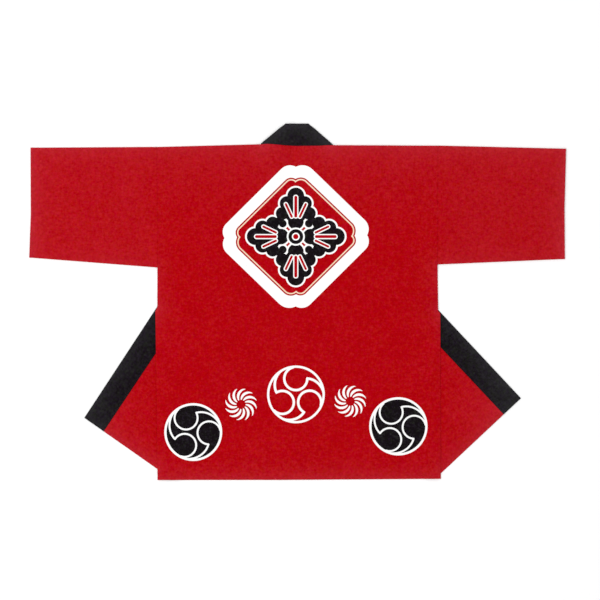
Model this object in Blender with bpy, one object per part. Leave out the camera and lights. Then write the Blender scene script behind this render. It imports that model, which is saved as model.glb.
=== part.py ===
"""A happi coat laid flat with its back up, its two fronts turned outward underneath it.

Metres, +Z up, collar towards +Y. The origin lies under the middle of the whole coat, on the surface
that it rests on. A plan point is (out, down): out from the centre line towards one side, and down from
the shoulder line towards the hem. Every panel is cut from one plan of triangles that all layers share,
so a layer keeps its gap to the one below it at every point.
"""

import math
from collections import namedtuple

import bpy
from mathutils import Matrix, Vector
from mathutils.geometry import delaunay_2d_cdt

# Cloth and seams
CLOTH_WALL = 0.0012
BAND_WALL = 0.0018
SEAM_GAP = 0.0003
FRONT_SHORTER = 0.0024

# How a layer eases down from the edge of what lies under it
FOLD_REACH = 0.0024
EASE = 0.036
EASE_LINES = (0.0, 1 / 3, 2 / 3, 1.0)
ARC_STEPS = 4

# Sizes that both sides share
COLLAR_TOP = -0.0509
BACK_LENGTH = 0.7973

# Tolerances
ON_LINE = 1e-5
SAME_POINT = 1e-7

Side = namedtuple(
    "Side",
    "name sign neck collar_top shoulder armpit waist_above waist_below hem"
    " sleeve_top cuff_top cuff_mid cuff_bottom"
    " fold_top fold_hem edge_mid edge_hem seam_mid seam_hem",
)

SIDES = (
    Side(
        name="left",
        sign=-1,
        neck=(0.0862, -0.0017),
        collar_top=(0.0267, COLLAR_TOP),
        shoulder=(0.3342, 0.0049),
        armpit=(0.3330, 0.2904),
        waist_above=(0.3332, 0.3856),
        waist_below=(0.3380, 0.3956),
        hem=(0.3327, BACK_LENGTH),
        sleeve_top=(0.3342, 0.0059),
        cuff_top=(0.6349, 0.0076),
        cuff_mid=(0.6343, 0.1642),
        cuff_bottom=(0.6380, 0.2667),
        fold_top=(0.0267, COLLAR_TOP),
        fold_hem=(0.2994, 0.7949),
        edge_mid=(0.0321, 0.4826),
        edge_hem=(0.0458, 0.7980),
        seam_mid=(0.0908, 0.4792),
        seam_hem=(0.1021, 0.7973),
    ),
    Side(
        name="right",
        sign=1,
        neck=(0.0836, 0.0005),
        collar_top=(0.0245, COLLAR_TOP),
        shoulder=(0.3346, 0.0017),
        armpit=(0.3334, 0.2832),
        waist_above=(0.3350, 0.3948),
        waist_below=(0.3401, 0.4008),
        hem=(0.3413, 0.7944),
        sleeve_top=(0.3346, 0.0026),
        cuff_top=(0.6393, 0.0101),
        cuff_mid=(0.6354, 0.1523),
        cuff_bottom=(0.6365, 0.2701),
        fold_top=(0.0286, 0.0417),
        fold_hem=(0.3298, 0.7925),
        edge_mid=(0.0495, 0.5090),
        edge_hem=(0.0526, 0.7950),
        seam_mid=(0.1061, 0.5071),
        seam_hem=(0.1086, 0.7945),
    ),
)
# The neck seam between the two neck points, and the middle of the hem, as (across, down)
NECK_SEAM = (
    (-0.0720, -0.0028),
    (-0.0581, -0.0021),
    (-0.0271, 0.0010),
    (-0.0060, 0.0020),
    (0.0538, 0.0016),
    (0.0740, 0.0003),
)
HEM_MIDDLE = (-0.0405, 0.7971)

Finish = namedtuple("Finish", "name color roughness")
RED_COTTON = Finish("red_cotton", (0.50, 0.004, 0.008, 1.0), 0.85)
BLACK_COTTON = Finish("black_cotton", (0.013, 0.012, 0.013, 1.0), 0.88)


# Plane geometry

def place(side, point):
    return Vector((side.sign * point[0], -point[1]))


def reflect(point, start, end):
    """The point's image where the cloth is folded over the line from start to end."""
    along = (end - start).normalized()
    offset = point - start
    return start + 2 * offset.dot(along) * along - offset


def crossing(a, b, c, d):
    """Where the line through a and b meets the line through c and d."""
    ab = b - a
    cd = d - c
    share = (c - a).cross(cd) / ab.cross(cd)
    return a + share * ab


def inward(point, amount):
    """The point moved towards the centre line."""
    return Vector((point.x - math.copysign(amount, point.x), point.y))


def segment_distance(point, a, b):
    ab = b - a
    share = min(max((point - a).dot(ab) / ab.length_squared, 0.0), 1.0)
    return (point - a - share * ab).length


def edges_of(polygon):
    return zip(polygon, polygon[1:] + polygon[:1])


def is_inside(point, polygon):
    inside = False
    for a, b in edges_of(polygon):
        if (a.y > point.y) != (b.y > point.y):
            if point.x < a.x + (point.y - a.y) * (b.x - a.x) / (b.y - a.y):
                inside = not inside
    return inside


def distance_to(point, polygon):
    if is_inside(point, polygon):
        return 0.0
    return min(segment_distance(point, a, b) for a, b in edges_of(polygon))


def eased(point, polygon):
    """1 on the polygon and just past its edge, falling smoothly to 0 over EASE."""
    far = min(max((distance_to(point, polygon) - FOLD_REACH) / EASE, 0.0), 1.0)
    return 1 - far * far * (3 - 2 * far)


# Cut pieces, each as its outline in plan once the coat is folded

def front_outlines(side):
    """The front panel and its stretch of band: what stays under the back, and what is turned outward."""
    fold_top = place(side, side.fold_top)
    fold_hem = place(side, side.fold_hem)
    neck = place(side, side.neck)
    seam = [neck, place(side, side.seam_mid), place(side, side.seam_hem)]
    band_seam = [inward(point, SEAM_GAP) for point in seam]
    edge = [
        place(side, side.collar_top),
        place(side, side.edge_mid),
        place(side, side.edge_hem),
    ]
    collar_fold = (edge[0], neck)
    band_neck = crossing(*collar_fold, neck + Vector((0, SEAM_GAP)), Vector((0, neck.y + SEAM_GAP)))
    panel_fold = crossing(fold_top, fold_hem, seam[0], seam[1])
    band_fold = crossing(fold_top, fold_hem, band_seam[0], band_seam[1])

    def turned(point):
        return reflect(point, fold_top, fold_hem)

    hem_side = place(side, (side.hem[0], side.hem[1] - FRONT_SHORTER))
    panel = [
        neck,
        place(side, side.shoulder),
        place(side, side.armpit),
        place(side, side.waist_above),
        place(side, side.waist_below),
        hem_side,
        fold_hem,
        panel_fold,
    ]
    band = [edge[0], band_neck, band_fold, fold_top]
    if (fold_top - edge[0]).length < ON_LINE:
        band.pop()
    return {
        "panel": panel,
        "panel_turned": [panel_fold, turned(seam[1]), turned(seam[2]), fold_hem],
        "band": band,
        "band_turned": [
            fold_top,
            turned(edge[1]),
            turned(edge[2]),
            turned(band_seam[2]),
            turned(band_seam[1]),
            band_fold,
        ],
        "panel_line": (panel_fold, fold_hem),
        "band_line": (fold_top, band_fold),
        "collar_line": (edge[0], band_neck),
    }


def neck_seam(raised):
    return [Vector((across, raised - down)) for across, down in NECK_SEAM]


def back_outline(left, right):
    halves = []
    for side in (left, right):
        names = ("neck", "shoulder", "armpit", "waist_above", "waist_below", "hem")
        halves.append([place(side, getattr(side, name)) for name in names])
    hem_middle = Vector((HEM_MIDDLE[0], -HEM_MIDDLE[1]))
    return halves[0] + [hem_middle] + halves[1][::-1] + neck_seam(0.0)[::-1]


def collar_outline(left, right, left_front, right_front):
    """The stretch of band behind the neck, between its two slanting folds."""
    return [
        place(left, left.collar_top),
        left_front["collar_line"][1],
        *neck_seam(SEAM_GAP),
        right_front["collar_line"][1],
        place(right, right.collar_top),
    ]


def sleeve_outline(side):
    outward = Vector((side.sign * SEAM_GAP, 0))
    return [
        place(side, side.sleeve_top) + outward,
        place(side, side.cuff_top),
        place(side, side.cuff_mid),
        place(side, side.cuff_bottom),
        place(side, side.armpit) + outward,
    ]


def ease_lines(a, b, away_from):
    """Lines beside the edge from a to b, on the side away from a point, where a layer eases down."""
    normal = Vector((b - a).yx).normalized()
    normal.x = -normal.x
    if normal.dot(away_from - a) > 0:
        normal = -normal
    lines = []
    for share in EASE_LINES:
        shift = normal * (FOLD_REACH + share * EASE)
        lines.append((a + shift, b + shift))
    return lines


# Plan of triangles that all layers share

class Plan:
    def __init__(self, outlines, lines):
        points = []
        edges = []
        for outline in outlines:
            first = len(points)
            points += outline
            count = len(outline)
            edges += [(first + i, first + (i + 1) % count) for i in range(count)]
        for a, b in lines:
            edges.append((len(points), len(points) + 1))
            points += [a, b]
        made = delaunay_2d_cdt(points, edges, [], 0, SAME_POINT)
        self.points = made[0]
        self.triangles = [self.counter_clockwise(face) for face in made[2]]

    def counter_clockwise(self, face):
        a, b, c = (self.points[i] for i in face)
        return tuple(face) if (b - a).cross(c - a) > 0 else tuple(reversed(face))

    def within(self, outline):
        chosen = []
        for face in self.triangles:
            middle = sum((self.points[i] for i in face), Vector((0, 0))) / 3
            if is_inside(middle, outline):
                chosen.append(face)
        return chosen


class Layer:
    """One flat stretch of a piece: its triangles, the height of its underside, and its wall."""

    def __init__(self, plan, outline, height, wall):
        self.plan = plan
        self.faces = plan.within(outline)
        self.height = height
        self.wall = wall

    def edges(self):
        """Edges round the outside, with the layer on their left."""
        seen = set()
        for face in self.faces:
            seen |= set(zip(face, face[1:] + face[:1]))
        return [(i, j) for i, j in seen if (j, i) not in seen]

    def corner(self, index, on_top):
        point = self.plan.points[index]
        z = self.height(point) + (self.wall if on_top else 0.0)
        return Vector((point.x, point.y, z))


# Building a solid out of layers joined at folds

class Solid:
    def __init__(self, layers, folds):
        """folds holds (upper layer's number, lower layer's number, line) for each turned edge."""
        self.layers = layers
        self.vertices = []
        self.faces = []
        self.index_of = {}
        turned = set()
        for upper, lower, line in folds:
            turned |= self.join(upper, lower, line)
        for number, layer in enumerate(layers):
            self.cover(number, layer)
            for i, j in layer.edges():
                if (number, i, j) not in turned:
                    self.side_wall(number, i, j)

    def vertex(self, number, index, on_top):
        key = (number, index, on_top)
        if key not in self.index_of:
            self.index_of[key] = len(self.vertices)
            self.vertices.append(self.layers[number].corner(index, on_top))
        return self.index_of[key]

    def cover(self, number, layer):
        for a, b, c in layer.faces:
            self.faces.append([self.vertex(number, i, True) for i in (a, b, c)])
            self.faces.append([self.vertex(number, i, False) for i in (c, b, a)])

    def side_wall(self, number, i, j):
        self.quad(
            self.vertex(number, i, False),
            self.vertex(number, j, False),
            self.vertex(number, j, True),
            self.vertex(number, i, True),
        )

    def quad(self, a, b, c, d):
        self.faces += [[a, b, c], [a, c, d]]

    def join(self, upper, lower, line):
        """The rounded turn of the cloth along a fold line, from one layer to the layer under it."""
        points = self.layers[upper].plan.points

        def on_line(edge):
            return all(segment_distance(points[i], *line) < ON_LINE for i in edge)

        edges = [edge for edge in self.layers[upper].edges() if on_line(edge)]
        starts = {i for i, _ in edges}
        ends = {j for _, j in edges}
        i, j = edges[0]
        along = (points[j] - points[i]).normalized()
        outward = Vector((along.y, -along.x))
        rings = {k: self.ring(upper, lower, k, outward) for k in starts | ends}
        for i, j in edges:
            for step in range(len(rings[i]) - 1):
                self.quad(rings[i][step + 1], rings[j][step + 1], rings[j][step], rings[i][step])
            self.quad(
                self.vertex(upper, i, False),
                self.vertex(upper, j, False),
                self.vertex(lower, j, True),
                self.vertex(lower, i, True),
            )
        self.end_cap(upper, lower, rings, (starts - ends).pop(), True)
        self.end_cap(upper, lower, rings, (ends - starts).pop(), False)
        return {(number, i, j) for number in (upper, lower) for i, j in edges}

    def ring(self, upper, lower, k, outward):
        """Vertices round the outside of the turn at one point, from the top down."""
        high = self.vertex(upper, k, True)
        low = self.vertex(lower, k, False)
        top = self.vertices[high]
        bottom = self.vertices[low]
        radius = (top.z - bottom.z) / 2
        ring = [high]
        for step in range(1, ARC_STEPS):
            angle = math.pi * step / ARC_STEPS
            reach = radius * math.sin(angle) * outward
            ring.append(len(self.vertices))
            self.vertices.append(
                Vector((top.x + reach.x, top.y + reach.y, bottom.z + radius * (1 + math.cos(angle))))
            )
        return ring + [low]

    def end_cap(self, upper, lower, rings, k, at_start):
        inner_high = self.vertex(upper, k, False)
        inner_low = self.vertex(lower, k, True)
        ring = rings[k]
        middle = len(ring) // 2
        faces = [[inner_high, ring[step], ring[step + 1]] for step in range(middle)]
        faces.append([inner_high, ring[middle], inner_low])
        faces += [[inner_low, ring[step], ring[step + 1]] for step in range(middle, len(ring) - 1)]
        self.faces += [face[::-1] for face in faces] if at_start else faces


def material_of(finish):
    material = bpy.data.materials.get(finish.name)
    if material is None:
        material = bpy.data.materials.new(finish.name)
        material.use_nodes = True
        shader = material.node_tree.nodes["Principled BSDF"]
        shader.inputs["Base Color"].default_value = finish.color
        shader.inputs["Roughness"].default_value = finish.roughness
        shader.inputs["Metallic"].default_value = 0.0
    return material


def add_piece(name, layers, folds, finish):
    solid = Solid(layers, folds)
    mesh = bpy.data.meshes.new(name)
    mesh.from_pydata(solid.vertices, [], solid.faces)
    mesh.materials.append(material_of(finish))
    piece = bpy.data.objects.new(name, mesh)
    bpy.context.scene.collection.objects.link(piece)
    return piece


def stand_on_origin(pieces):
    """Moves the coat so that the middle of its outline lies over the origin."""
    corners = [vertex.co for piece in pieces for vertex in piece.data.vertices]
    middle = Vector((0, 0, 0))
    for axis in (0, 1):
        places = [corner[axis] for corner in corners]
        middle[axis] = (min(places) + max(places)) / 2
    for piece in pieces:
        piece.data.transform(Matrix.Translation(-middle))


def main():
    for thing in list(bpy.data.objects):
        bpy.data.objects.remove(thing, do_unlink=True)

    left, right = SIDES
    fronts = {side.name: front_outlines(side) for side in SIDES}
    back = back_outline(left, right)
    collar = collar_outline(left, right, fronts["left"], fronts["right"])
    sleeves = {side.name: sleeve_outline(side) for side in SIDES}

    outlines = [back, collar, *sleeves.values()]
    lines = [(place(right, (0.0, COLLAR_TOP)), place(right, (0.0, BACK_LENGTH / 3)))]
    for side in SIDES:
        front = fronts[side.name]
        outlines += [front[key] for key in ("panel", "panel_turned", "band", "band_turned")]
        fold = (front["band_line"][0], front["panel_line"][1])
        turned = front["band_turned"]
        lines += ease_lines(*fold, away_from=front["panel"][1])
        lines += ease_lines(turned[0], turned[1], away_from=fold[1])
        lines += ease_lines(fold[1], turned[2], away_from=fold[0])
    plan = Plan(outlines, lines)

    def turned_height(point):
        return 0.0

    def front_height(point):
        heights = [0.0]
        for front in fronts.values():
            heights.append((CLOTH_WALL + SEAM_GAP) * eased(point, front["panel_turned"]))
            heights.append((BAND_WALL + SEAM_GAP) * eased(point, front["band_turned"]))
        return max(heights)

    def back_height(point):
        heights = [0.0]
        for front in fronts.values():
            heights.append((CLOTH_WALL + SEAM_GAP) * eased(point, front["panel"]))
            heights.append((BAND_WALL + SEAM_GAP) * eased(point, front["band"]))
        return front_height(point) + max(heights)

    def sleeve_height(point):
        return CLOTH_WALL + SEAM_GAP

    pieces = [
        add_piece("back_panel", [Layer(plan, back, back_height, CLOTH_WALL)], [], RED_COTTON)
    ]
    collar_layers = [Layer(plan, collar, back_height, BAND_WALL)]
    collar_folds = []
    for side in SIDES:
        front = fronts[side.name]
        front_layers = [
            Layer(plan, front["panel"], front_height, CLOTH_WALL),
            Layer(plan, front["panel_turned"], turned_height, CLOTH_WALL),
        ]
        front_folds = [(0, 1, front["panel_line"])]
        pieces.append(add_piece(f"front_{side.name}", front_layers, front_folds, RED_COTTON))

        hanging = len(collar_layers)
        collar_layers.append(Layer(plan, front["band"], front_height, BAND_WALL))
        collar_layers.append(Layer(plan, front["band_turned"], turned_height, BAND_WALL))
        collar_folds.append((0, hanging, front["collar_line"]))
        collar_folds.append((hanging, hanging + 1, front["band_line"]))

        sleeve = sleeves[side.name]
        sleeve_layers = [
            Layer(plan, sleeve, sleeve_height, CLOTH_WALL),
            Layer(plan, sleeve, turned_height, CLOTH_WALL),
        ]
        sleeve_folds = [(0, 1, (sleeve[0], sleeve[1])), (0, 1, (sleeve[3], sleeve[4]))]
        pieces.append(add_piece(f"sleeve_{side.name}", sleeve_layers, sleeve_folds, RED_COTTON))
    pieces.append(add_piece("collar", collar_layers, collar_folds, BLACK_COTTON))
    stand_on_origin(pieces)


main()
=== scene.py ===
"""The looks of a happi coat that lies flat with its back up: cloth, print, stitches, floor, light, camera.

Metres, +Z up. A plan point is (across, up) from the crossing of the centre line and the shoulder line,
and the tables give it as (out, down) or (across, down). Each piece of cloth is a closed thin shell of one
or more layers over its place in the frame, joined where the cloth is folded. The print is cut into the
shell's own faces, so it lies flush with the cloth.
"""

import math
from collections import namedtuple
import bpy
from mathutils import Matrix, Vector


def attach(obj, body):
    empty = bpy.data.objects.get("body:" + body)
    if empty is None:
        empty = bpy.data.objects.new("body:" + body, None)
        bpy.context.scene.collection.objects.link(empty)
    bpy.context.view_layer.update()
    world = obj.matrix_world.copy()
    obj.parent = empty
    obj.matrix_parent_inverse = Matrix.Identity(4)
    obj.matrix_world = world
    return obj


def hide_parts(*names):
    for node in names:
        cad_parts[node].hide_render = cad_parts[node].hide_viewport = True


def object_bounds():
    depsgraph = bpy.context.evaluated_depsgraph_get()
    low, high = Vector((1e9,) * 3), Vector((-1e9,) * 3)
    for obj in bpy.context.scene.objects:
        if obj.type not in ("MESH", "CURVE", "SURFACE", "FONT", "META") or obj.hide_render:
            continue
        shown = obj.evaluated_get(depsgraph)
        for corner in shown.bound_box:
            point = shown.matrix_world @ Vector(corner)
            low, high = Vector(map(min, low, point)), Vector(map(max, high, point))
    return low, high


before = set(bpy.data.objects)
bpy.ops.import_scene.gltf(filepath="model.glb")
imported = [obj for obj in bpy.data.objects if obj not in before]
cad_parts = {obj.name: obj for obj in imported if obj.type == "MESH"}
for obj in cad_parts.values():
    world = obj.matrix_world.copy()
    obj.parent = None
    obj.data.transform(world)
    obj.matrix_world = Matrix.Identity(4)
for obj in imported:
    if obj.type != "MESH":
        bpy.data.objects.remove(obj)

from types import SimpleNamespace

import bpy
import numpy as np
from mathutils import Vector
from mathutils.geometry import delaunay_2d_cdt
from mathutils.kdtree import KDTree

CAD_BOX = [list(corner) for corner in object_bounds()]

# The cut, as the frame's solids have it
GAP = 0.0003
FRAME_WALL = 0.0012
FRAME_BAND_WALL = 0.0018
FRONT_SHORTER = 0.0024
FOLD_REACH = 0.0024
EASE = 0.036
COLLAR_TOP = -0.0509
BACK_LENGTH = 0.7973

# Cloth. Where two pieces are sewn, their edges all but meet, and stay nearly square.
SEAM_GAP = 0.00003
SEWN_EDGE = 0.12
WALL = 0.0009
BAND_WALL = 0.0015
SPACING = 0.0065
ROW_SPACING = SPACING * math.sqrt(0.75)
LINE_SPACING = 0.0052
LEAST_ROW_GAP = 0.0008
JITTER = 0.22
CLEARANCE = 0.55
SAME_POINT = 1e-7
SLIVER = 2e-6
ON_LINE = 1e-5
RIM_STEPS = 4
TURN_STEPS = 8
MOST_MITER = 1.6

# Hems and seams: distances in from the edge, and what the cloth does there
HEM = 0.0071
HEM_RISE = 0.00042
GROOVE = 0.0003
GROOVE_HALF = 0.0007
HEM_STEP_START = 0.78 * HEM
HEM_STEP = 0.25 * HEM
HEM_ROWS = (0.0018, 0.0045, 0.0060, 0.0066, HEM, 0.0076, 0.0083, 0.0105)
SEAM_RISE = 0.00022
SEAM_FALL = 0.0024
SEAM_STEP_START = 0.0076
SEAM_STEP = 0.0030
SEAM_ROWS = (0.0012, 0.0024, 0.0045, 0.0080, 0.0110)
BAND_STITCH = 0.0028
BAND_ROWS = (0.0012, 0.0020, BAND_STITCH, 0.0036, 0.0055)

# Where ironing has flattened the stack: along the body's sides and at the collar's two upper corners
PRESS_REACH = 0.012
PRESS_START = 0.025
PRESS_CORNER = 0.006
PRESSED_SPACING = 0.5
PRESSED_WALL = 0.6

# Stitches
STITCH = 0.0030
STITCH_GAP = 0.0011
THREAD = 0.00026
THREAD_SIDES = 6
THREAD_STEPS = 6
# As shares: how unevenly the stitches are spaced, how high their middle lies and how far their ends
# go down in thread radii, and the thickness that they taper from and by how much
STITCH_SHIFT = 0.08
THREAD_UP = 0.75
THREAD_DOWN = 1.5
THREAD_FULL = 1.05
THREAD_TAPER = 0.9

# The photograph's frame, as real sizes at the coat
VIEW_WIDTH = 1.428
VIEW_MIDDLE = (0.0062, 0.3689)
LENS = 200.0
SENSOR = 36.0
VIEW_DEPTH = 100.0

# The corners of half a coat, as (out, down) on the left and on the right
CORNERS = (
    ("neck", (0.0862, -0.0017), (0.0836, 0.0005)),
    ("collar_top", (0.0267, COLLAR_TOP), (0.0245, COLLAR_TOP)),
    ("shoulder", (0.3342, 0.0049), (0.3346, 0.0017)),
    ("armpit", (0.3330, 0.2904), (0.3334, 0.2832)),
    ("waist_above", (0.3332, 0.3856), (0.3350, 0.3948)),
    ("waist_below", (0.3380, 0.3956), (0.3401, 0.4008)),
    ("hem", (0.3327, BACK_LENGTH), (0.3413, 0.7944)),
    ("sleeve_top", (0.3342, 0.0059), (0.3346, 0.0026)),
    ("cuff_top", (0.6349, 0.0076), (0.6393, 0.0101)),
    ("cuff_mid", (0.6343, 0.1642), (0.6354, 0.1523)),
    ("cuff_bottom", (0.6380, 0.2667), (0.6365, 0.2701)),
    ("fold_top", (0.0267, COLLAR_TOP), (0.0286, 0.0417)),
    ("fold_hem", (0.2994, 0.7949), (0.3298, 0.7925)),
    ("edge_mid", (0.0321, 0.4826), (0.0495, 0.5090)),
    ("edge_hem", (0.0458, 0.7980), (0.0526, 0.7950)),
    ("seam_mid", (0.0908, 0.4792), (0.1061, 0.5071)),
    ("seam_hem", (0.1021, 0.7973), (0.1086, 0.7945)),
)
NECK_SEAM = (
    (-0.0720, -0.0028), (-0.0581, -0.0021), (-0.0271, 0.0010),
    (-0.0060, 0.0020), (0.0538, 0.0016), (0.0740, 0.0003),
)
HEM_MIDDLE = (-0.0405, 0.7971)
# A point well inside the back, as (across, down), and one well inside each front, as (out, down)
BACK_MIDDLE = (0.0, 0.4)
FRONT_MIDDLE = (0.2, 0.3)

# Press marks and soft ridges in the laid cloth, as (across, down) ends, half width and rise
CREASES = (
    ((-0.482, 0.089), (-0.150, 0.086), 0.0045, 0.00045),
    ((-0.620, 0.045), (-0.505, 0.108), 0.0140, 0.00080),
    ((-0.600, 0.205), (-0.440, 0.170), 0.0180, 0.00070),
    ((-0.420, 0.235), (-0.345, 0.262), 0.0120, 0.00065),
    ((-0.315, 0.045), (-0.280, 0.150), 0.0160, 0.00060),
    ((-0.290, 0.330), (-0.200, 0.440), 0.0200, 0.00070),
    ((-0.120, 0.480), (-0.060, 0.640), 0.0240, 0.00055),
    ((-0.300, 0.560), (-0.215, 0.600), 0.0150, 0.00050),
    ((-0.250, 0.760), (-0.120, 0.742), 0.0130, 0.00055),
    ((0.050, 0.735), (0.175, 0.752), 0.0150, 0.00060),
    ((0.020, 0.500), (0.140, 0.452), 0.0210, 0.00065),
    ((0.196, 0.010), (0.176, 0.205), 0.0110, 0.00070),
    ((0.205, 0.290), (0.300, 0.335), 0.0170, 0.00070),
    ((0.228, 0.455), (0.226, 0.640), 0.0050, 0.00050),
    ((0.232, 0.457), (0.325, 0.462), 0.0050, 0.00045),
    ((0.352, 0.240), (0.430, 0.185), 0.0140, 0.00080),
    ((0.395, 0.070), (0.545, 0.110), 0.0190, 0.00060),
    ((0.500, 0.230), (0.615, 0.200), 0.0150, 0.00075),
    ((-0.430, 0.600), (-0.380, 0.690), 0.0130, 0.00050),
    ((0.420, 0.560), (0.395, 0.650), 0.0140, 0.00050),
)
# A faint all-over lift, as waves of (cycles per metre across, cycles per metre up, phase, rise)
SWELLS = ((1.9, 1.3, 0.4, 0.00018), (-1.1, 2.7, 2.1, 0.00016), (3.7, -2.2, 4.0, 0.00011))

# Print, as (across, down) places and real sizes
Roundel = namedtuple("Roundel", "centre radius head_angle tail_sweep line ground")
ROUNDELS = (
    Roundel((-0.2478, 0.6831), 0.0688, 117.0, 71.0, 0.0044, "black"),
    Roundel((-0.0035, 0.5935), 0.0687, 90.5, 52.0, 0.0058, "red"),
    Roundel((0.2402, 0.6695), 0.0693, 117.0, 71.0, 0.0043, "black"),
)
RING = 0.0054
HEAD_DISTANCE = 0.0376
HEAD_RADIUS = 0.0274
HEAD_START = 15.0
HEAD_SWEEP = 255.0
TAIL_BEND = 1.35
TAIL_POINTS = 21
# Each flower as its place and the turn of its first blade, in degrees
FLOWERS = (((-0.1342, 0.6173), 104.6), ((0.1257, 0.6098), 100.6))
FLOWER_RADIUS = 0.0377
FLOWER_HEART = 0.0122
BLADES = 12
BLADE_LEAD = 43.0
BLADE_HALF = 0.00297
BLADE_POINTS = 19
BLADE_BEND = 1.25
BLADE_SWERVE = 1.3
# A blade is as wide as this stretch of a half wave, which the last value fills out
BLADE_START = 0.13
BLADE_SPAN = 0.84
BLADE_FULL = 0.8

DIAMOND_MIDDLE = (-0.0038, 0.2180)
# Nested outlines of the diamond frame. A corner is two round lobes, each as (across, up, radius) from the
# middle, here from the right corner's upper lobe round to the left corner's. The rest is half a turn on.
OUTER_LOBES = (
    (0.1438, 0.0178, 0.0296),
    (0.0154, 0.1351, 0.0345),
    (-0.0137, 0.1403, 0.0293),
    (-0.1466, 0.0111, 0.0272),
)
INNER_LOBES = (
    (0.1163, 0.0136, 0.0262),
    (0.0118, 0.1170, 0.0237),
    (-0.0110, 0.1209, 0.0193),
    (-0.1243, 0.0093, 0.0189),
)
Nest = namedtuple("Nest", "colour lobes inset")
DIAMOND = (
    Nest("white", OUTER_LOBES, 0.0),
    Nest("red", INNER_LOBES, 0.0),
    Nest("cream", INNER_LOBES, 0.0034),
    Nest("red", INNER_LOBES, 0.0065),
)

# The flower inside the frame: round lobes of one petal as (across, outward, radius), and its slits
PETAL_LOBES = (
    (0.0, 0.0965, 0.0200),
    (0.0210, 0.0790, 0.0172),
    (-0.0210, 0.0790, 0.0172),
    (0.0322, 0.0550, 0.0153),
    (-0.0322, 0.0550, 0.0153),
    (0.0, 0.0595, 0.0280),
    (0.0, 0.0355, 0.0186),
)
LEAF_LOBES = ((0.0, 0.0560, 0.0080), (0.0, 0.0440, 0.0093))
SLITS = (
    ((0.0, 0.0490), (0.0, 0.0935), 0.0070),
    ((0.0098, 0.0475), (0.0237, 0.0770), 0.0052),
    ((-0.0098, 0.0475), (-0.0237, 0.0770), 0.0052),
)
OUTLINE = 0.0042
SLIT_OUTLINE = 0.0027
HEART_RINGS = (("white", 0.0215), ("black", 0.0176), ("white", 0.0094), ("red", 0.0062))
ARC_STEP = 0.0016
LEAST_ARC = 12

# Colours, linear. The faded-and-flared colours are what uneven dye fading and the painted flare pull the
# others to.
RED = (0.417, 0.0003, 0.0028)
RED_FADED_AND_FLARED = (0.470, 0.0192, 0.0290)
BLACK = (0.0046, 0.0022, 0.0034)
BLACK_FADED_AND_FLARED = (0.0206, 0.0194, 0.0216)
WHITE = (0.930, 0.928, 0.922)
WHITE_FADED_AND_FLARED = (0.915, 0.905, 0.898)
CREAM = (0.870, 0.640, 0.450)

# Painted flare, a painted veil of light over an even base, from 0 on the cloth's own colours to 1 on the
# faded-and-flared colours. It is most along the coat's edges, more on the sleeves from one distance out to
# another, and on the shoulders down to a distance, and less low down.
BASE_FADE = 0.07
FLARE_EDGE = 0.021
FLARE_SLEEVES = 0.20
SLEEVES_START = 0.27
SLEEVES_END = 0.40
SLEEVES_BELOW = 0.28
SLEEVES_FADE = 0.10
LESS_BELOW = 0.6
FLARE_SHOULDERS = 0.17
SHOULDERS_START = 0.03
SHOULDERS_END = 0.25
# How much painted flare lightens each edge of a half coat's outline, by the corner that it starts from
BORDER = (
    ("collar_top", 0.92), ("neck", 0.50), ("cuff_top", 0.68), ("cuff_bottom", 0.26), ("armpit", 0.26),
    ("waist_above", 0.60), ("tip", 0.56), ("under_hem", 0.26), ("hem", 0.56),
)
# Places that are lighter beyond that, as (across, down), reach and amount
LIGHTER_SPOTS = (((-0.490, 0.640), 0.070, 0.14), ((0.500, 0.590), 0.095, 0.26))

# Weave, and the noises that vary it: each one's grain, the span of it that counts, and what it does
PITCH = 0.00062
THREAD_BEND = 0.45
WEAVE_BUMP = 0.55
WEAVE_DEPTH = 0.00016
MOTTLE = 0.0050
STREAK_WIDTH = 0.0045
STREAK_LENGTH = 0.0075
STREAK_OFFSET = 0.7
STREAK_SPAN = (0.5, 1.5)
STREAK_SHADE = 0.155
BLOTCH = 0.0120
SLUB_LENGTH = 0.022
SLUB_WIDTH = 0.0017
SLUB_RELIEF = 0.6
HUE = 0.0055
HUE_OFFSET = 1.9
HUE_SPAN = (0.25, 0.75)
HUE_FADE = 0.18
CLOUD = 0.085
CLOUD_FADE = 0.05
CLOUD_SHADE = 0.015
BROAD_SPAN = (0.3, 0.7)
NOISE_ROUGHNESS = 0.55
# What fades the dye unevenly, as the noise's name, its span, and how far it goes either way
FADES = (
    ("streaks", STREAK_SPAN, 0.21),
    ("mottle", (0.25, 0.75), 0.18),
    ("blotch", BROAD_SPAN, 0.09),
    ("slubs", (0.4, 1.6), 0.16),
)

# Finish of the cotton. A shade is the colour's share on a thread's crown or in the gaps: a painted highlight
# on the crowns and painted shade in the gaps.
THREAD_SHADE = 1.05
GAP_SHADE = 0.86
ROUGHNESS = 0.86
GAP_ROUGHER = 0.08
THREAD_SMOOTHER = 0.05
SPECULAR = 0.07
SHEEN = 0.03
SHEEN_ROUGHNESS = 0.45
SHEEN_TINT = 0.8
BLACK_UNEVEN = 1.3
PRINT_ROUGHNESS = 0.8
PRINT_SHEEN = 0.02
# Prints as the name, colour and faded-and-flared colour, how uneven they are, and the painted shade in the
# gaps
PRINTS = (
    ("black", BLACK, BLACK_FADED_AND_FLARED, 2.3, 0.90),
    ("white", WHITE, WHITE_FADED_AND_FLARED, 0.15, 0.94),
    ("cream", CREAM, WHITE_FADED_AND_FLARED, 0.30, 0.94),
)

# Finish of the thread. A wave pattern is WAVE_LENGTH long at scale 1.
WAVE_LENGTH = 0.314
TWIST_LENGTH = 0.0005
TWIST_DISTORTION = 0.6
# The twist's colour share: painted shade in its grooves and a painted highlight on its ridges
TWIST_SHADE = (0.85, 1.1)
TWIST_BUMP = 0.5
TWIST_DEPTH = 0.00008
THREAD_ROUGHNESS = 0.62
THREAD_SPECULAR = 0.15

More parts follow.
